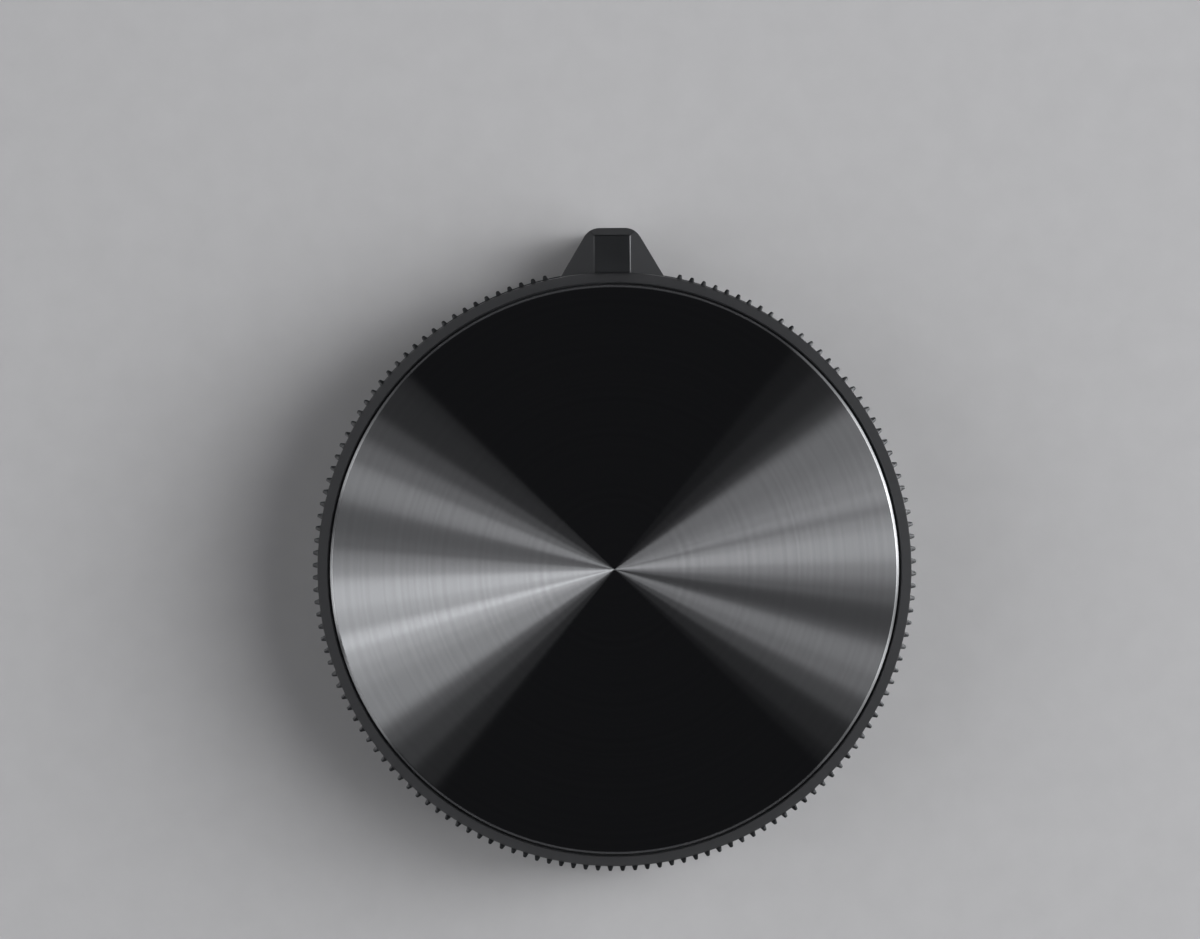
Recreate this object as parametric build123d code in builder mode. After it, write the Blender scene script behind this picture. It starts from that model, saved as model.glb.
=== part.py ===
"""Dryer control knob: a plated grip ring with a pointer, a spun metal face and a carrier with a D socket.

Millimetres. The origin is on the shaft axis, in the plane of the back rim. +Z points out of the face and
+Y runs along the pointer.
"""

import os
from math import atan, cos, degrees, hypot, radians, tan

from build123d import *

# Overall height, from the back rim to the face
face_height = 20.0

# Face disc: spun metal with a bright cut edge
disc_radius = 33.45
disc_thickness = 1.0
disc_edge_width = 0.35
disc_edge_drop = 0.25

# Film that holds the disc down
film_thickness = 0.2
film_margin = 0.6

# Grip ring: lip and bevel round the disc, wall and inner ledge
disc_gap = 0.25
disc_proud = 0.3
lip_land = 0.12
bevel_width = 1.18
bevel_angle = 50.0
bevel_edge = 0.12
ring_wall = 2.0
ledge_width = 2.3
ledge_thickness = 1.6
rim_edge = 0.3

# Ribs round the grip ring, and the plain band that they stand on
rib_places = 152
rib_places_left_out = 10
rib_height = 0.56
rib_width = 0.7
rib_tip_width = 0.36
rib_sink = 0.3
rib_top_step = 0.2
band_height = 1.2
band_step = 0.1

# Pointer on the grip ring, cored out from below
pointer_reach = 5.3
pointer_root_width = 11.9
pointer_tip_width = 5.4
pointer_corner_radius = 2.2
pointer_flare_radius = 1.2
pointer_drop = 1.2
pointer_flat_width = 4.3
pointer_crown_radius = 0.3
pointer_side_angle = 50.0
pointer_end_angle = 50.0
pointer_end_width = 0.9
pointer_edge_radius = 0.25
pointer_wall = 1.6
pointer_roof = 3.6
pointer_core_radius = 0.5

# Carrier: top plate, flange under the ledge, braces that run out to the snap arms
body_clearance = 0.2
plate_below_ledge = 0.4
flange_thickness = 2.0
flange_lap = 1.8
brace_thickness = 1.4

# Snap arms on the carrier, and the catches and guides in the ring that they lock into
arm_count = 4
arm_start_angle = 45.0
arm_width = 8.0
arm_thickness = 1.4
arm_gap = 1.6
arm_tail = 1.0
hook_wall_gap = 0.5
hook_land = 0.8
hook_clearance = 0.1
catch_height = 6.1
catch_land = 1.0
catch_gap = 0.4
guide_thickness = 1.2
guide_lap = 0.8
guide_clearance = 0.2
guide_end_gap = 0.3
guide_lead = 1.0

# Shaft boss: round lead-in, D socket, two slots that let it grip
shaft_diameter = 6.0
shaft_across_flat = 4.5
socket_clearance = 0.05
socket_floor = 2.3
lead_in_clearance = 0.25
lead_in_length = 4.5
boss_wall = 2.55
boss_edge = 0.4
boss_root = 0.7
slot_width = 1.2
slot_length = 9.0

# Spring band in its seat round the boss
spring_start = 2.5
spring_height = 4.5
spring_thickness = 0.5
spring_seat_depth = 0.4
spring_radial_clearance = 0.03
spring_end_clearance = 0.1
spring_gap_angle = 64.0
spring_curl_radius = 0.9
spring_curl_angle = 55.0
brace_above_spring = 0.9

# Radii, worked out from the disc outwards and then inwards
recess_radius = disc_radius + disc_gap
lip_radius = recess_radius + lip_land
root_radius = lip_radius + bevel_width
band_radius = root_radius + rib_height + band_step
inner_radius = root_radius - ring_wall
wall_middle_radius = root_radius - ring_wall / 2
ledge_radius = recess_radius - ledge_width
flange_radius = inner_radius - body_clearance
plate_radius = ledge_radius - body_clearance
flange_inner_radius = plate_radius - flange_lap
brace_end_radius = plate_radius - flange_lap / 2
arm_outer_radius = inner_radius - arm_gap
arm_inner_radius = arm_outer_radius - arm_thickness
hook_radius = inner_radius - hook_wall_gap
catch_radius = arm_outer_radius + catch_gap
guide_radius = arm_outer_radius - guide_lap

# Heights, worked out from the face down
disc_bottom = face_height - disc_thickness
plate_top = disc_bottom - film_thickness
ledge_bottom = plate_top - ledge_thickness
plate_bottom = ledge_bottom - plate_below_ledge
flange_bottom = ledge_bottom - flange_thickness
lip_top = face_height - disc_proud
bevel_bottom = lip_top - bevel_width * tan(radians(bevel_angle))
rib_top = bevel_bottom - rib_top_step
pointer_top = bevel_bottom - pointer_drop

# Places round the axis, in degrees from +X
pointer_angle = 90.0
rib_pitch = 360 / rib_places
first_rib_angle = pointer_angle + (rib_places_left_out + 1) / 2 * rib_pitch
rib_angles = [first_rib_angle + place * rib_pitch for place in range(rib_places - rib_places_left_out)]
arm_angles = [arm_start_angle + place * 360 / arm_count for place in range(arm_count)]
arm_arc = degrees(arm_width / arm_outer_radius)
guide_gap_arc = degrees(guide_clearance / arm_outer_radius)
guide_arc = degrees(guide_thickness / inner_radius)

# Pointer: the taper of its sides, carried into the ring's wall, the fall of its slopes, and its core
pointer_tip_radius = root_radius + pointer_reach
pointer_taper = (pointer_root_width - pointer_tip_width) / 2 / pointer_reach
pointer_sunk_half = pointer_root_width / 2 + pointer_taper * ring_wall / 2
pointer_block_half = pointer_root_width / 2 + pointer_flare_radius
pointer_side_drop = (pointer_block_half - pointer_flat_width / 2) * tan(radians(pointer_side_angle))
pointer_end_drop = pointer_end_width * tan(radians(pointer_end_angle))
pointer_core_half = pointer_root_width / 2 - pointer_wall / cos(atan(pointer_taper))
pointer_core_length = pointer_reach - pointer_wall
pointer_core_tip_half = pointer_core_half - pointer_taper * pointer_core_length

# Snap fit, from the catch up and down
hook_bottom = catch_height + hook_clearance
hook_top = hook_bottom + hook_land + hook_radius - arm_outer_radius
arm_bottom = hook_bottom - arm_tail
arm_root = flange_bottom + flange_thickness / 2
catch_foot = catch_height - catch_land - (wall_middle_radius - catch_radius)
guide_foot = arm_bottom - arm_thickness
guide_top = flange_bottom - guide_end_gap

# Shaft boss and spring
socket_radius = shaft_diameter / 2 + socket_clearance
socket_flat = shaft_across_flat - shaft_diameter / 2 + socket_clearance
socket_end = plate_bottom - socket_floor
lead_in_radius = shaft_diameter / 2 + lead_in_clearance
boss_radius = lead_in_radius + boss_wall
boss_middle_radius = lead_in_radius + boss_wall / 2
spring_seat_radius = boss_radius - spring_seat_depth
spring_end = spring_start + spring_height
spring_middle_radius = spring_seat_radius + spring_radial_clearance + spring_thickness / 2
brace_foot = spring_end + brace_above_spring

# Rib: its foot, sunk into the wall with the flanks carried on
rib_foot_radius = root_radius - rib_sink
rib_foot_half = rib_width / 2 + rib_sink * (rib_width - rib_tip_width) / 2 / rib_height
rib_tip_radius = root_radius + rib_height

# A corner or an edge is picked by its place to within this
pick_tolerance = 1e-4

os.makedirs("parts", exist_ok=True)

# Pointer block: its plan with a flare at the foot, cut to its end view and its side view, edges rounded
with BuildPart() as pointer:
    with BuildSketch() as pointer_plan:
        Circle(root_radius)
        with BuildLine():
            Polyline(
                (-pointer_sunk_half, wall_middle_radius),
                (pointer_sunk_half, wall_middle_radius),
                (pointer_tip_width / 2, pointer_tip_radius),
                (-pointer_tip_width / 2, pointer_tip_radius),
                close=True,
            )
        make_face()
        fillet(pointer_plan.vertices().group_by(Axis.Y)[-1], pointer_corner_radius)
        on_root = [v for v in pointer_plan.vertices() if abs(hypot(v.X, v.Y) - root_radius) < pick_tolerance]
        fillet([v for v in on_root if v.Y > 0 and v.X < pointer_block_half], pointer_flare_radius)
        Circle(wall_middle_radius, mode=Mode.SUBTRACT)
    extrude(amount=pointer_top)
    with BuildSketch(Plane.XZ) as pointer_end_view:
        with BuildLine():
            Polyline(
                (-pointer_block_half, 0),
                (pointer_block_half, 0),
                (pointer_block_half, pointer_top - pointer_side_drop),
                (pointer_flat_width / 2, pointer_top),
                (-pointer_flat_width / 2, pointer_top),
                (-pointer_block_half, pointer_top - pointer_side_drop),
                close=True,
            )
        make_face()
        fillet(pointer_end_view.vertices().group_by(Axis.Y)[-1], pointer_crown_radius)
    extrude(amount=-pointer_tip_radius, mode=Mode.INTERSECT)
    with BuildSketch(Plane.YZ):
        with BuildLine():
            Polyline(
                (0, 0),
                (pointer_tip_radius, 0),
                (pointer_tip_radius, pointer_top - pointer_end_drop),
                (pointer_tip_radius - pointer_end_width, pointer_top),
                (0, pointer_top),
                close=True,
            )
        make_face()
    extrude(amount=pointer_block_half, both=True, mode=Mode.INTERSECT)
    sharp = pointer.edges().filter_by(Axis.Z, reverse=True).filter_by(Axis.Y, reverse=True)
    raised = [e for e in sharp if e.center().Z > 0]
    outside = [e for e in raised if hypot(e.center().X, e.center().Y) > root_radius - pick_tolerance]
    fillet(outside, pointer_edge_radius)

# One rib in plan, its foot sunk into the ring's wall
with BuildSketch() as rib_plan:
    with BuildLine():
        Polyline(
            (rib_foot_radius, -rib_foot_half),
            (rib_tip_radius, -rib_tip_width / 2),
            (rib_tip_radius, rib_tip_width / 2),
            (rib_foot_radius, rib_foot_half),
            close=True,
        )
    make_face()

# Grip ring: turned section, pointer and its core, catches and guides inside, ribs outside
with BuildPart() as grip_ring:
    with BuildSketch(Plane.XZ) as ring_section:
        with BuildLine():
            Polyline(
                (inner_radius, 0),
                (band_radius - rim_edge, 0),
                (band_radius, rim_edge),
                (band_radius, band_height),
                (root_radius, band_height),
                (root_radius, bevel_bottom),
                (lip_radius, lip_top),
                (recess_radius, lip_top),
                (recess_radius, plate_top),
                (ledge_radius, plate_top),
                (ledge_radius, ledge_bottom),
                (inner_radius, ledge_bottom),
                close=True,
            )
        make_face()
        bevel_foot = [v for v in ring_section.vertices() if abs(v.Y - bevel_bottom) < pick_tolerance]
        chamfer(bevel_foot, bevel_edge)
    revolve(axis=Axis.Z)
    add(pointer.part)
    with BuildSketch() as pointer_core:
        with BuildLine():
            Polyline(
                (-pointer_core_half, root_radius),
                (pointer_core_half, root_radius),
                (pointer_core_tip_half, root_radius + pointer_core_length),
                (-pointer_core_tip_half, root_radius + pointer_core_length),
                close=True,
            )
        make_face()
        fillet(pointer_core.vertices(), pointer_core_radius)
    extrude(amount=pointer_top - pointer_roof, mode=Mode.SUBTRACT)
    for arm_angle in arm_angles:
        with BuildSketch(Plane.XZ.rotated((0, 0, arm_angle - arm_arc / 2))):
            with BuildLine():
                Polyline(
                    (wall_middle_radius, catch_height),
                    (catch_radius, catch_height),
                    (catch_radius, catch_height - catch_land),
                    (wall_middle_radius, catch_foot),
                    close=True,
                )
            make_face()
        revolve(axis=Axis.Z, revolution_arc=arm_arc)
        first_guide = arm_angle - arm_arc / 2 - guide_gap_arc - guide_arc
        second_guide = arm_angle + arm_arc / 2 + guide_gap_arc
        for guide_angle in (first_guide, second_guide):
            with BuildSketch(Plane.XZ.rotated((0, 0, guide_angle))):
                with BuildLine():
                    Polyline(
                        (wall_middle_radius, guide_top),
                        (guide_radius, guide_top),
                        (guide_radius, guide_foot + guide_lead),
                        (guide_radius + guide_lead, guide_foot),
                        (wall_middle_radius, guide_foot),
                        close=True,
                    )
                make_face()
            revolve(axis=Axis.Z, revolution_arc=guide_arc)
    with BuildSketch(Plane.XY.offset(band_height)):
        with Locations([Location((0, 0, 0), (0, 0, rib_angle)) for rib_angle in rib_angles]):
            add(rib_plan.sketch)
    extrude(amount=rib_top - band_height)
grip_ring.part.label = "grip_ring"
export_step(grip_ring.part, "parts/grip_ring.step")

# Carrier: turned plate, flange and boss with the spring's seat, then braces, snap arms and the shaft socket
with BuildPart() as knob_body:
    with BuildSketch(Plane.XZ) as body_section:
        with BuildLine():
            Polyline(
                (0, plate_top),
                (plate_radius, plate_top),
                (plate_radius, ledge_bottom),
                (flange_radius, ledge_bottom),
                (flange_radius, flange_bottom),
                (flange_inner_radius, flange_bottom),
                (flange_inner_radius, plate_bottom),
                (boss_radius, plate_bottom),
                (boss_radius, spring_end + spring_end_clearance),
                (spring_seat_radius, spring_end + spring_end_clearance),
                (spring_seat_radius, spring_start - spring_end_clearance),
                (boss_radius, spring_start - spring_end_clearance),
                (boss_radius, boss_edge),
                (boss_radius - boss_edge, 0),
                (0, 0),
                close=True,
            )
        make_face()
        under_plate = [v for v in body_section.vertices() if abs(v.Y - plate_bottom) < pick_tolerance]
        chamfer([v for v in under_plate if v.X < boss_radius + pick_tolerance], boss_root)
    revolve(axis=Axis.Z)
    for arm_angle in arm_angles:
        with BuildSketch(Plane.XZ.rotated((0, 0, arm_angle))):
            with BuildLine():
                Polyline(
                    (boss_middle_radius, plate_bottom),
                    (boss_middle_radius, brace_foot),
                    (boss_radius, brace_foot),
                    (brace_end_radius, flange_bottom),
                    (brace_end_radius, plate_bottom),
                    close=True,
                )
            make_face()
        extrude(amount=brace_thickness / 2, both=True)
        with BuildSketch(Plane.XZ.rotated((0, 0, arm_angle - arm_arc / 2))):
            with BuildLine():
                Polyline(
                    (arm_inner_radius, arm_root),
                    (arm_inner_radius, arm_bottom),
                    (arm_outer_radius, arm_bottom),
                    (arm_outer_radius, hook_bottom),
                    (hook_radius, hook_bottom),
                    (hook_radius, hook_bottom + hook_land),
                    (arm_outer_radius, hook_top),
                    (arm_outer_radius, arm_root),
                    close=True,
                )
            make_face()
        revolve(axis=Axis.Z, revolution_arc=arm_arc)
    with BuildSketch():
        Circle(lead_in_radius)
    extrude(amount=lead_in_length, mode=Mode.SUBTRACT)
    with BuildSketch(Plane.XY.offset(lead_in_length)):
        Circle(socket_radius)
        with Locations((0, socket_flat)):
            Rectangle(2 * socket_radius, socket_radius, align=(Align.CENTER, Align.MIN), mode=Mode.SUBTRACT)
    extrude(amount=socket_end - lead_in_length, mode=Mode.SUBTRACT)
    with BuildSketch():
        Rectangle(2 * boss_radius, slot_width)
    extrude(amount=slot_length, mode=Mode.SUBTRACT)
knob_body.part.label = "knob_body"
export_step(knob_body.part, "parts/knob_body.step")

# Spring band: an open hoop with its ends curled outwards, open over one of the boss's slots
with BuildPart() as shaft_spring:
    with BuildSketch(Plane.XY.offset(spring_start)):
        with BuildLine():
            hoop = CenterArc((0, 0), spring_middle_radius, spring_gap_angle / 2, 360 - spring_gap_angle)
            JernArc(hoop @ 1, hoop % 1, spring_curl_radius, -spring_curl_angle)
            JernArc(hoop @ 0, (hoop % 0) * -1, spring_curl_radius, spring_curl_angle)
        trace(line_width=spring_thickness)
    extrude(amount=spring_height)
shaft_spring.part.label = "shaft_spring"
export_step(shaft_spring.part, "parts/shaft_spring.step")

# Film between the carrier and the disc
with BuildPart() as face_adhesive:
    with BuildSketch(Plane.XY.offset(plate_top)):
        Circle(disc_radius - film_margin)
    extrude(amount=film_thickness)
face_adhesive.part.label = "face_adhesive"
export_step(face_adhesive.part, "parts/face_adhesive.step")

# Face disc with its cut edge
with BuildPart() as face_disc:
    with BuildSketch(Plane.XZ):
        with BuildLine():
            Polyline(
                (0, disc_bottom),
                (disc_radius, disc_bottom),
                (disc_radius, face_height - disc_edge_drop),
                (disc_radius - disc_edge_width, face_height),
                (0, face_height),
                close=True,
            )
        make_face()
    revolve(axis=Axis.Z)
face_disc.part.label = "face_disc"
export_step(face_disc.part, "parts/face_disc.step")
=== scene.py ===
# %% [markdown]
# # A dryer knob: dark plated grip ring, spun metal face
#
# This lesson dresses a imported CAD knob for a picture. The CAD model is loaded as a fixed frame: it is in
# metres, it stands with its back rim on z = 0, and its pointer runs along +Y. Nothing in it is moved.
# Pieces that need softer edges or a finer surface are made new, in the same place, and stand for the CAD
# node.

import random
from math import asin, cos, degrees, hypot, pi, radians, sin, tan

import bpy
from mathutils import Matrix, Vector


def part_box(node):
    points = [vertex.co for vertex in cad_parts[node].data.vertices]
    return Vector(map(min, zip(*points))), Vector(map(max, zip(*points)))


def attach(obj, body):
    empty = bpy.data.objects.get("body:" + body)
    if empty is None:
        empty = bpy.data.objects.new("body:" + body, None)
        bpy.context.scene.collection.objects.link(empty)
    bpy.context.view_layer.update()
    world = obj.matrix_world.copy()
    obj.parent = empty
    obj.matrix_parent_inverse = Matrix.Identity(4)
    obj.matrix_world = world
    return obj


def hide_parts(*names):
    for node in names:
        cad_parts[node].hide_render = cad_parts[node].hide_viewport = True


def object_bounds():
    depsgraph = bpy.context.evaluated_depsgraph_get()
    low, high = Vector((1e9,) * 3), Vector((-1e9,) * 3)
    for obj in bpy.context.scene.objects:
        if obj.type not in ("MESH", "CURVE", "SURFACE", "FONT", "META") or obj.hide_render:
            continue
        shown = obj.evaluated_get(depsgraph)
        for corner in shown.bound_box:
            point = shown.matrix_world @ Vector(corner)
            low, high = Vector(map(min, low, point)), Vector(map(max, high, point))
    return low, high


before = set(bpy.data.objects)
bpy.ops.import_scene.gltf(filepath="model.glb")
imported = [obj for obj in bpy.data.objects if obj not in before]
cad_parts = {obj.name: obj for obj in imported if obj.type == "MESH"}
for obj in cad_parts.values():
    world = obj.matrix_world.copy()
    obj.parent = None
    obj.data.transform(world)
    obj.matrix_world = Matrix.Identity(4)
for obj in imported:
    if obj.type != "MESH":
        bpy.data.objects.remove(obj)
cad_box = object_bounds()
mm = 0.001
print("CAD box, mm:", [[round(c / mm, 2) for c in corner] for corner in cad_box])

# %% [markdown]
# Colours are written as the sRGB hex values that a colour picker shows. Blender's shaders work in linear
# light, so one function turns hex into linear numbers. A second small function adds any node to a material,
# sets its options and its sockets, and makes the links, so that each material below reads as a short list.

# %% Two helpers for materials
def linear(hex_colour):
    """Turns a hex colour such as #A0A0A2 into linear red, green, blue and alpha."""
    channels = [int(hex_colour[i:i + 2], 16) / 255 for i in (1, 3, 5)]
    return [c / 12.92 if c <= 0.04045 else ((c + 0.055) / 1.055) ** 2.4 for c in channels] + [1.0]


def add_node(tree, kind, inputs=None, **options):
    """Adds one node. An input is a value for a socket, or another node's socket to link from."""
    node = tree.nodes.new("ShaderNode" + kind)
    for name, value in options.items():
        setattr(node, name, value)
    for name, value in (inputs or {}).items():
        if isinstance(value, bpy.types.NodeSocket):
            tree.links.new(value, node.inputs[name])
        else:
            node.inputs[name].default_value = value
    return node


def new_material(name):
    """Makes an empty node material and returns it with its tree and the output node."""
    material = bpy.data.materials.new(name)
    material.use_nodes = True
    material.node_tree.nodes.clear()
    return material, material.node_tree, add_node(material.node_tree, "OutputMaterial")


print("mid grey #808080 is", round(linear("#808080")[0], 3), "in linear light")

# %% [markdown]
# The camera looks straight down on the face, as the photo does. One pixel of the 1200 x 939 picture covers
# 0.1175 mm of the face, and the knob's axis falls a little right of and well below the middle of the
# picture. So the camera stands off to the side by that much, and no lens shift is needed. A long lens from
# far away keeps the ring's wall out of sight, as in the photo. The knob lies turned by less than half a
# degree, and a roll of the camera gives the same picture.

# %% Camera
picture_width, picture_height = 1200, 939
face_pixel = 0.1175 * mm
axis_pixel = (614.5, 569.5)
camera_above_face = 730 * mm
camera_roll = radians(-0.4)

face_top = cad_box[1].z
across = (axis_pixel[0] - picture_width / 2) * face_pixel
down = (axis_pixel[1] - picture_height / 2) * face_pixel
camera_x = -(across * cos(camera_roll) + down * sin(camera_roll))
camera_y = -(across * sin(camera_roll) - down * cos(camera_roll))
bpy.ops.object.select_all(action="DESELECT")
bpy.ops.object.camera_add(
    location=(camera_x, camera_y, face_top + camera_above_face), rotation=(0, 0, camera_roll),
)
camera = bpy.context.object
camera.name = "overhead_camera"
camera.data.sensor_width = 36
camera.data.lens = camera.data.sensor_width * camera_above_face / (picture_width * face_pixel)
camera.data.clip_start, camera.data.clip_end = 0.05, 50
bpy.context.scene.camera = camera
bpy.context.scene.view_settings.view_transform = "Standard"
print("camera at, mm:", [round(c / mm, 1) for c in camera.location], "lens", round(camera.data.lens, 1))

# %% [markdown]
# A spun face shows its surroundings as fans: each point mirrors a whole vertical slice of the room, on the
# side it lies on and on the far side. So the fans in the photo say where its lights stood: a large bright
# window on the right, a weaker one on the left, a narrow strip beside each, and a dark ceiling. One softbox
# a side would give plain wedges, so several are laid over one another, each a little wider than the next,
# as a window has panes. They stand upright, because the edge of an upright pane keeps its bearing all the
# way up and gives a crisp ray. Each is given by its first and last bearing, in degrees from +X, and by its
# radiance. Its power follows from the radiance and its area. All of them reach from a low edge to a high
# edge, seen from the knob, and each stands a little behind the one before it.

# %% Softboxes on the right and on the left
softboxes = (
    ("right_sheet", -44.5, 49, 0.36),
    ("right_haze", -34.5, 43, 0.5),
    ("right_veil", -29.5, 37, 0.67),
    ("right_strip", -24, -16, 1.6),
    ("right_pane", -6, 32.5, 1.8),
    ("right_middle", -3, 31, 0.75),
    ("right_window", -1, 23, 0.9),
    ("right_inner", 0, 19, 1.46),
    ("right_key", 0.5, 6.5, 1.2),
    ("right_glint", 11.5, 15, 3.9),
    ("left_sheet", 140.5, 218.5, 0.2),
    ("left_haze", 148, 165, 0.5),
    ("left_strip", 154, 165, 1.2),
    ("left_pane", 174, 193.5, 0.9),
    ("left_window", 179, 192.5, 0.9),
    ("left_key", 182.5, 189.5, 0.65),
    ("left_far_pane", 199, 216.5, 0.85),
)
low_edge, high_edge = radians(20), radians(72)
nearest_light, light_step = 0.6, 0.01

for row, (name, first, last, radiance) in enumerate(softboxes):
    bearing, away = radians((first + last) / 2), nearest_light + row * light_step
    foot, head = away * tan(low_edge), away * tan(high_edge)
    bpy.ops.object.select_all(action="DESELECT")
    bpy.ops.object.light_add(
        type="AREA", location=(away * cos(bearing), away * sin(bearing), (foot + head) / 2),
        rotation=(pi / 2, 0, bearing + pi / 2),
    )
    light = bpy.context.object
    light.name = name
    light.data.shape = "RECTANGLE"
    light.data.size = 2 * away * tan(radians(last - first) / 2)
    light.data.size_y = head - foot
    light.data.energy = radiance * pi * light.data.size * light.data.size_y
    print(f"{name}: {light.data.size:.2f} x {light.data.size_y:.2f} m, {light.data.energy:.1f} W")

# %% [markdown]
# The room itself is dark overhead and pale along the horizon. The dark part is what the top and bottom of
# the face mirror, and the pale part is what shows behind the knob from a low angle.

# %% Room
pale_below, dark_above = 0.10, 0.30
world = bpy.data.worlds.new("room")
bpy.context.scene.world = world
world.use_nodes = True
room = world.node_tree
room.nodes.clear()
direction = add_node(room, "TexCoord")
height = add_node(room, "SeparateXYZ", {"Vector": direction.outputs["Generated"]})
shade = add_node(room, "ValToRGB", {"Fac": height.outputs["Z"]})
shade.color_ramp.interpolation = "EASE"
horizon, overhead = shade.color_ramp.elements
horizon.position, horizon.color = pale_below, linear("#B4B4B6")
overhead.position, overhead.color = dark_above, linear("#39393B")
glow = add_node(room, "Background", {"Color": shade.outputs["Color"], "Strength": 1.0})
add_node(room, "OutputWorld", {"Surface": glow.outputs["Background"]})
print("room: pale below", round(degrees(asin(pale_below))), "degrees,",
      "dark above", round(degrees(asin(dark_above))))

# %% [markdown]
# The floor is a plain sheet of pale grey paper. Paper is matt, and its fibres make faint clouds a few
# millimetres wide, which a soft noise gives.

# %% Floor
floor_size, below_rim, cloud_size = 8, 0.02 * mm, 4 * mm
bpy.ops.object.select_all(action="DESELECT")
bpy.ops.mesh.primitive_grid_add(
    x_subdivisions=8, y_subdivisions=8, size=floor_size, location=(0, 0, -below_rim),
)
floor = bpy.context.object
floor.name = "paper_floor"
bpy.ops.object.transform_apply(location=True)

paper, tree, output = new_material("pale_grey_paper")
place = add_node(tree, "TexCoord")
clouds = add_node(tree, "TexNoise", {
    "Vector": place.outputs["Object"], "Scale": 1 / cloud_size, "Detail": 4.0,
})
tone = add_node(tree, "ValToRGB", {"Fac": clouds.outputs["Fac"]})
tone.color_ramp.elements[0].color, tone.color_ramp.elements[1].color = linear("#B4B4B6"), linear("#BCBCBE")
shader = add_node(tree, "BsdfPrincipled", {"Base Color": tone.outputs["Color"], "Roughness": 0.9})
tree.links.new(shader.outputs["BSDF"], output.inputs["Surface"])
floor.data.materials.append(paper)
print("floor:", [round(d, 2) for d in floor.dimensions], "m")

# %% [markdown]
# The face is a thin disc of aluminium, spun against an abrasive so that its scratches run in circles, and
# then cut bright round its edge. It could be left as the flat CAD disc with a pattern in its material.
# Modelled rings catch the light better: a lathe tool leaves shallow steps, and each one leans a little more
# or less than the next, here by a few tenths of a degree at most. So the disc's section is drawn point by
# point, as with a pen, and spun round the axis. Close points beside the corners keep the smooth shading
# there.

# %% Section of the face, from the middle to the edge and back under it
disc_low, disc_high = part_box("face_disc")
disc_radius = disc_high.x
cut_width, cut_drop = 0.28 * mm, 0.2 * mm
ring_pitch = 0.42 * mm
ring_lean = (0.05, 0.4)
random.seed(8)

flat_radius = disc_radius - cut_width
ring_count = int(flat_radius / ring_pitch)
section = [(0.0, disc_high.z)]
for ring in range(1, ring_count):
    crest = ring * flat_radius / ring_count
    dip = 0.5 * ring_pitch * tan(radians(random.uniform(*ring_lean)))
    section.append((crest - 0.5 * ring_pitch, disc_high.z - dip))
    section.append((crest, disc_high.z))
edge_round = 0.03 * mm
section += [
    (flat_radius - 2 * edge_round, disc_high.z),
    (flat_radius - edge_round, disc_high.z),
    (flat_radius + edge_round, disc_high.z - edge_round * cut_drop / cut_width),
    (flat_radius + 2 * edge_round, disc_high.z - 2 * edge_round * cut_drop / cut_width),
    (disc_radius - edge_round, disc_high.z - cut_drop + edge_round * cut_drop / cut_width),
    (disc_radius, disc_high.z - cut_drop - edge_round),
    (disc_radius, disc_low.z + edge_round),
    (disc_radius - edge_round, disc_low.z),
    (0.0, disc_low.z),
]
print(ring_count, "turned rings,", len(section), "points in the section")

# %% Draw the section by extruding one vertex, then spin it
spin_steps, seam_gap, ring_smoothing = 240, 0.002 * mm, radians(24)
bpy.ops.object.select_all(action="DESELECT")
bpy.ops.mesh.primitive_plane_add(size=2 * mm)
spun_face = bpy.context.object
spun_face.name = spun_face.data.name = "spun_face"
bpy.ops.object.mode_set(mode="EDIT")
bpy.ops.mesh.select_all(action="SELECT")
bpy.ops.mesh.merge(type="CENTER")
bpy.ops.transform.translate(value=(section[0][0], 0, section[0][1]))
for (r0, z0), (r1, z1) in zip(section, section[1:]):
    bpy.ops.mesh.extrude_vertices_move(TRANSFORM_OT_translate={"value": (r1 - r0, 0, z1 - z0)})
bpy.ops.mesh.select_all(action="SELECT")
bpy.ops.mesh.spin(steps=spin_steps, angle=2 * pi, center=(0, 0, 0), axis=(0, 0, 1))
bpy.ops.mesh.select_all(action="SELECT")
bpy.ops.mesh.remove_doubles(threshold=seam_gap)
bpy.ops.mesh.normals_make_consistent(inside=False)
bpy.ops.object.mode_set(mode="OBJECT")
bpy.ops.object.shade_smooth_by_angle(angle=ring_smoothing)
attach(spun_face, "root")
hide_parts("face_disc")
print("spun face:", len(spun_face.data.polygons), "faces")

# %% [markdown]
# Spun aluminium: the scratches run round the axis, so each one is a tiny slope that leans inwards or
# outwards and hardly ever sideways. Light spreads far along the radius and very little across it, and the
# eye sees pairs of bright fans that meet in a point. A Principled shader spreads at most ten times further
# one way than the other, which blurs the fans, so a Glossy shader is used. Its tangent is the radius, and
# its roughness and anisotropy follow from the two spreads. The scratches were cut with a tool that pressed
# outwards, so they lean a little inwards, and that makes one fan of a pair brighter than the other. Every
# few tenths of a millimetre some are deeper, and show as faint darker rings.

# %% Turned metal
ring_tone_pitch = 0.6 * mm


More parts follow.
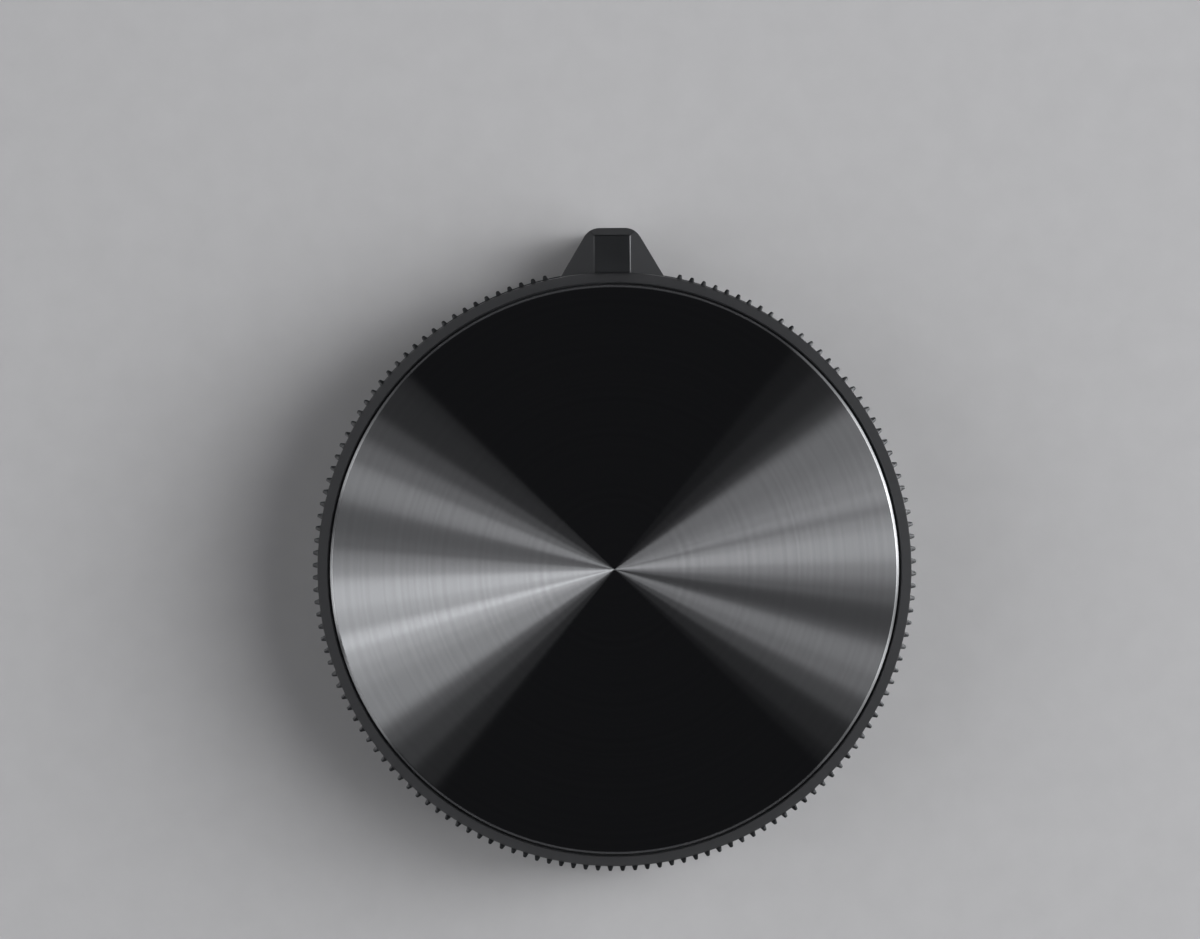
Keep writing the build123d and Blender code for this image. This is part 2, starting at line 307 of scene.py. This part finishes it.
def turned_metal(name, dark, light, spread_outward, spread_along, inward_lean):
    """Makes a metal whose scratches run round the axis, spreading light along the radius."""
    material, tree, output = new_material(name)
    place = add_node(tree, "TexCoord")
    in_plane = add_node(tree, "VectorMath", {0: place.outputs["Object"], 1: (1, 1, 0)}, operation="MULTIPLY")
    outward = add_node(tree, "VectorMath", {0: in_plane.outputs["Vector"]}, operation="NORMALIZE")
    surface = add_node(tree, "NewGeometry")
    leaning = add_node(tree, "VectorMath", {
        0: outward.outputs["Vector"], 1: (-inward_lean,) * 3, 2: surface.outputs["Normal"],
    }, operation="MULTIPLY_ADD")
    normal = add_node(tree, "VectorMath", {0: leaning.outputs["Vector"]}, operation="NORMALIZE")
    radius = add_node(tree, "VectorMath", {0: in_plane.outputs["Vector"]}, operation="LENGTH")
    track = add_node(tree, "Math", {0: radius.outputs["Value"], 1: 1 / ring_tone_pitch}, operation="MULTIPLY")
    depth = add_node(tree, "TexNoise", {"W": track.outputs["Value"], "Scale": 1.0, "Detail": 3.0},
                     noise_dimensions="1D")
    tone = add_node(tree, "ValToRGB", {"Fac": depth.outputs["Fac"]})
    tone.color_ramp.elements[0].color, tone.color_ramp.elements[1].color = linear(dark), linear(light)
    shader = add_node(tree, "BsdfAnisotropic", {
        "Color": tone.outputs["Color"], "Roughness": (spread_outward * spread_along) ** 0.25,
        "Anisotropy": (spread_along / spread_outward) ** 0.5 - 1,
        "Tangent": outward.outputs["Vector"], "Normal": normal.outputs["Vector"],
    }, distribution="BECKMANN")
    tree.links.new(shader.outputs["BSDF"], output.inputs["Surface"])
    print(name, "has roughness", round(shader.inputs["Roughness"].default_value, 3),
          "and anisotropy", round(shader.inputs["Anisotropy"].default_value, 3))
    return material


spun_face.data.materials.append(turned_metal(
    "spun_aluminium", "#646567", "#6D6E70", spread_outward=0.30, spread_along=0.006, inward_lean=0.09,
))

# %% [markdown]
# The edge of the face was cut last, with one pass of a sharp tool, so it is brighter and smoother than the
# rest. It is the same metal, turned in the same way, and gets its own material on the faces that lie on the
# cut. There the scratches spread the light less far outwards, and they don't lean.

# %% Bright cut edge
spun_face.data.materials.append(turned_metal(
    "bright_cut_aluminium", "#868789", "#8E8F91", spread_outward=0.20, spread_along=0.02, inward_lean=0.0,
))
on_cut = [p for p in spun_face.data.polygons if hypot(p.center.x, p.center.y) > flat_radius - edge_round]
for polygon in on_cut:
    polygon.material_index = 1
print("cut edge:", len(on_cut), "faces")

# %% [markdown]
# The grip ring and the carrier are moulded, and a moulded edge is never quite sharp: it catches a thin line
# of light. The CAD nodes have sharp edges, so each gets a copy whose loose triangles are merged and whose
# flat areas are joined into single faces, ready to be rounded.

# %% Merged copies of the moulded pieces
weld_gap, flat_angle = 0.001 * mm, radians(0.8)


def merged_copy(node, name):
    """Copies a CAD node into a new piece of welded, plain faces that stands for the node."""
    bpy.ops.object.select_all(action="DESELECT")
    piece = bpy.data.objects.new(name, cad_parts[node].data.copy())
    piece.data.name = name
    piece.data.materials.clear()
    bpy.context.scene.collection.objects.link(piece)
    bpy.context.view_layer.objects.active = piece
    piece.select_set(True)
    bpy.ops.mesh.customdata_custom_splitnormals_clear()
    bpy.ops.object.mode_set(mode="EDIT")
    bpy.ops.mesh.select_all(action="SELECT")
    bpy.ops.mesh.remove_doubles(threshold=weld_gap)
    bpy.ops.mesh.dissolve_limited(angle_limit=flat_angle)
    bpy.ops.object.mode_set(mode="OBJECT")
    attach(piece, "root")
    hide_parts(node)
    print(name, "has", len(piece.data.polygons), "faces after merging")
    return piece


grip = merged_copy("grip_ring", "rounded_grip_ring")
carrier = merged_copy("knob_body", "rounded_knob_body")

# %% [markdown]
# The ribs of the grip end in round crests, which look like a row of beads from above. Each crest has two
# long upright edges. They are found by their place: they stand upright and are as far out as a rib goes on
# the side away from the pointer. An edge bevel of three steps then rounds all of them at once.

# %% Round crests on the ribs
crest_rounding, on_radius, shortest_rib = 0.13 * mm, 0.01 * mm, 5 * mm
corners = grip.data.vertices
crest_radius = max(hypot(v.co.x, v.co.y) for v in corners if v.co.y < 0 and v.co.z > shortest_rib)


def on_crest(edge):
    """True for an upright edge at the crest of a rib."""
    ends = [corners[index].co for index in edge.vertices]
    far_out = all(abs(hypot(end.x, end.y) - crest_radius) < on_radius for end in ends)
    return far_out and abs(ends[0].z - ends[1].z) > shortest_rib


bpy.ops.object.select_all(action="DESELECT")
bpy.context.view_layer.objects.active = grip
grip.select_set(True)
bpy.ops.object.mode_set(mode="EDIT")
bpy.ops.mesh.select_mode(type="EDGE")
bpy.ops.mesh.select_all(action="DESELECT")
bpy.ops.object.mode_set(mode="OBJECT")
crests = [edge for edge in grip.data.edges if on_crest(edge)]
for edge in crests:
    edge.select = True
print(len(crests), "crest edges at radius, mm:", round(crest_radius / mm, 2))
bpy.ops.object.mode_set(mode="EDIT")
bpy.ops.mesh.bevel(offset=crest_rounding, segments=3, affect="EDGES")
bpy.ops.object.mode_set(mode="OBJECT")

# %% [markdown]
# All the other edges get a much smaller rounding from a Bevel modifier, which finds them by their angle. A
# Weighted Normal modifier then keeps the flat areas looking flat beside it.

# %% Round every other edge
sharp_from, smooth_below = radians(28), radians(48)


def round_edges(piece, rounding):
    """Rounds the sharp edges of a piece by a few hundredths of a millimetre."""
    bpy.ops.object.select_all(action="DESELECT")
    bpy.context.view_layer.objects.active = piece
    piece.select_set(True)
    bevel = piece.modifiers.new("moulded_edge", "BEVEL")
    bevel.width, bevel.segments = rounding, 2
    bevel.limit_method, bevel.angle_limit = "ANGLE", sharp_from
    bevel.miter_outer = "MITER_ARC"
    bpy.ops.object.modifier_apply(modifier=bevel.name)
    bpy.ops.object.shade_smooth_by_angle(angle=smooth_below)
    weighted = piece.modifiers.new("flat_areas", "WEIGHTED_NORMAL")
    weighted.keep_sharp = True
    bpy.ops.object.modifier_apply(modifier=weighted.name)
    print(piece.name, "has", len(piece.data.polygons), "faces after rounding")


round_edges(grip, 0.05 * mm)
round_edges(carrier, 0.12 * mm)

# %% [markdown]
# Dark chrome: the ring is ABS, plated and then toned dark under a clear lacquer. The metal below is a soft
# mirror and the lacquer on it is a sharp one, so the eye sees a dark grey sheen with crisp lines in it. The
# lacquer levels a little unevenly, in waves about 2 mm wide.

# %% Dark chrome
wave_size, haze_size = 2 * mm, 5 * mm
dark_chrome, tree, output = new_material("dark_chrome_plating")
place = add_node(tree, "TexCoord")
waves = add_node(tree, "TexNoise", {"Vector": place.outputs["Object"], "Scale": 1 / wave_size, "Detail": 1.0})
bump = add_node(tree, "Bump", {"Height": waves.outputs["Fac"], "Strength": 0.08, "Distance": 0.02 * mm})
haze = add_node(tree, "TexNoise", {"Vector": place.outputs["Object"], "Scale": 1 / haze_size, "Detail": 4.0})
rough = add_node(tree, "MapRange", {
    "Value": haze.outputs["Fac"], "From Min": 0.3, "From Max": 0.7, "To Min": 0.33, "To Max": 0.41,
})
shader = add_node(tree, "BsdfPrincipled", {
    "Base Color": linear("#3A3B3D"), "Metallic": 1.0, "Roughness": rough.outputs["Result"],
    "Normal": bump.outputs["Normal"], "Coat Weight": 0.5, "Coat Roughness": 0.12, "Coat IOR": 1.5,
})
tree.links.new(shader.outputs["BSDF"], output.inputs["Surface"])
grip.data.materials.append(dark_chrome)
print("dark chrome on", grip.name)

# %% [markdown]
# Moulded ABS: black plastic from a mould with a fine spark-eroded texture. Its grain is about 0.3 mm, and
# it spreads the light into a soft grey sheen.

# %% Moulded ABS
grain_size, flow_size = 0.3 * mm, 6 * mm
moulded_abs, tree, output = new_material("black_moulded_abs")
place = add_node(tree, "TexCoord")
grain = add_node(tree, "TexNoise", {
    "Vector": place.outputs["Object"], "Scale": 1 / grain_size, "Detail": 2.0,
})
bump = add_node(tree, "Bump", {"Height": grain.outputs["Fac"], "Strength": 0.35, "Distance": 0.05 * mm})
flow = add_node(tree, "TexNoise", {"Vector": place.outputs["Object"], "Scale": 1 / flow_size, "Detail": 3.0})
rough = add_node(tree, "MapRange", {
    "Value": flow.outputs["Fac"], "From Min": 0.3, "From Max": 0.7, "To Min": 0.42, "To Max": 0.56,
})
shader = add_node(tree, "BsdfPrincipled", {
    "Base Color": linear("#1E1E20"), "Roughness": rough.outputs["Result"], "IOR": 1.54,
    "Normal": bump.outputs["Normal"],
})
tree.links.new(shader.outputs["BSDF"], output.inputs["Surface"])
carrier.data.materials.append(moulded_abs)
print("moulded ABS on", carrier.name)

# %% [markdown]
# Spring steel: a narrow strip, rolled to its thickness and bent into an open hoop. Rolling leaves fine
# lines along the strip, so here they run round the axis, and light spreads across them.

# %% Spring steel
line_length, line_squeeze = 3 * mm, (1, 1, 20)
spring_steel, tree, output = new_material("rolled_spring_steel")
place = add_node(tree, "TexCoord")
lines = add_node(tree, "Mapping", {"Vector": place.outputs["Object"], "Scale": line_squeeze})
rolled = add_node(tree, "TexNoise", {
    "Vector": lines.outputs["Vector"], "Scale": 1 / line_length, "Detail": 3.0,
})
rough = add_node(tree, "MapRange", {
    "Value": rolled.outputs["Fac"], "From Min": 0.3, "From Max": 0.7, "To Min": 0.25, "To Max": 0.42,
})
shader = add_node(tree, "BsdfPrincipled", {
    "Base Color": linear("#9C9C9E"), "Metallic": 1.0, "Roughness": rough.outputs["Result"],
})
tree.links.new(shader.outputs["BSDF"], output.inputs["Surface"])
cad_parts["shaft_spring"].data.materials.clear()
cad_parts["shaft_spring"].data.materials.append(spring_steel)
print("spring steel on shaft_spring")

# %% [markdown]
# The film under the face is out of sight once the knob is together, and shows when the knob is taken apart.
# It is a milky adhesive on a clear carrier, a little uneven in its gloss.

# %% Adhesive film
smear_size = 3 * mm
film, tree, output = new_material("acrylic_adhesive_film")
place = add_node(tree, "TexCoord")
smears = add_node(tree, "TexNoise", {
    "Vector": place.outputs["Object"], "Scale": 1 / smear_size, "Detail": 3.0,
})
rough = add_node(tree, "MapRange", {"Value": smears.outputs["Fac"], "To Min": 0.35, "To Max": 0.6})
shader = add_node(tree, "BsdfPrincipled", {
    "Base Color": linear("#CFCDC4"), "Roughness": rough.outputs["Result"], "IOR": 1.47,
})
tree.links.new(shader.outputs["BSDF"], output.inputs["Surface"])
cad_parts["face_adhesive"].data.materials.clear()
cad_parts["face_adhesive"].data.materials.append(film)
print("film on face_adhesive")
